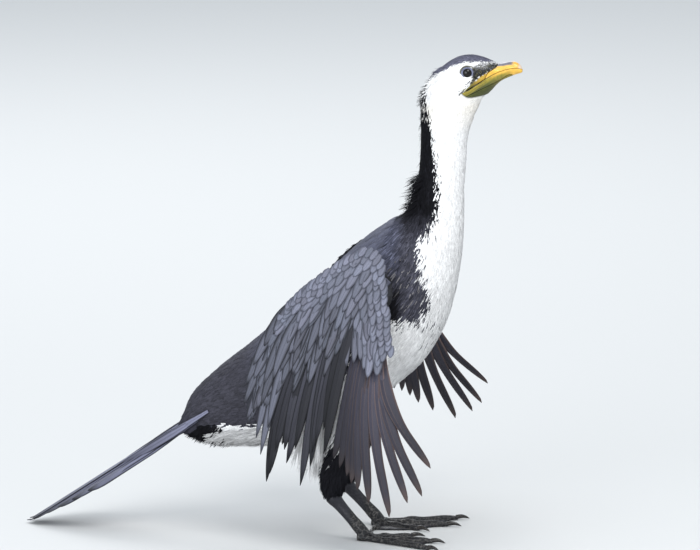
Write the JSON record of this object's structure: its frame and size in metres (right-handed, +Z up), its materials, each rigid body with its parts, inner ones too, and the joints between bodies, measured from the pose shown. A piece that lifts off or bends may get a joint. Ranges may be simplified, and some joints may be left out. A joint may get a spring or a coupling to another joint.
{
  "type": "pied cormorant, still model",
  "caption": "Slim water bird standing upright, head turned forwards, wings drooped half open to dry, with a long stiff tail and broad webbed feet.",
  "frame": {"origin": "centre of the bounding box's bottom face, on the floor that the feet and the tail's tip rest on", "axes": "+X points forwards along the bird's body, towards the bill, +Y to the bird's left and +Z up"},
  "size_m": [0.4018, 0.3062, 0.3897],
  "materials": {
    "plumage_white": "soft white body feathers with a matte, slightly silky surface",
    "plumage_dark": "dark slate body feathers, matte with a faint blue sheen",
    "wing_grey": "slate grey flight feathers and coverts with a satin blue-grey sheen and darker edges",
    "bill_yellow": "smooth horn, orange yellow with a dark ridge",
    "gular_green": "bare wrinkled skin, olive green",
    "eye_dark": "wet, glossy dark eye",
    "leg_black": "black scaly skin with a low sheen",
    "claw_black": "smooth black horn"
  },
  "bodies": {
    "root": {"torso": "plumage_dark", "neck": "plumage_white", "head": "plumage_white", "bill_upper": "bill_yellow", "bill_lower": "bill_yellow", "gular_pouch": "gular_green", "eye_right": "eye_dark", "eye_left": "eye_dark", "tail": "wing_grey", "wing_right": "wing_grey", "hand_right": "wing_grey", "thigh_right": "plumage_dark", "shank_right": "leg_black", "foot_right": "leg_black", "claw_hind_right": "claw_black", "claw_inner_right": "claw_black", "claw_middle_right": "claw_black", "claw_outer_right": "claw_black", "wing_left": "wing_grey", "hand_left": "wing_grey", "thigh_left": "plumage_dark", "shank_left": "leg_black", "foot_left": "leg_black", "claw_hind_left": "claw_black", "claw_inner_left": "claw_black", "claw_middle_left": "claw_black", "claw_outer_left": "claw_black"}
  },
  "joints": []
}
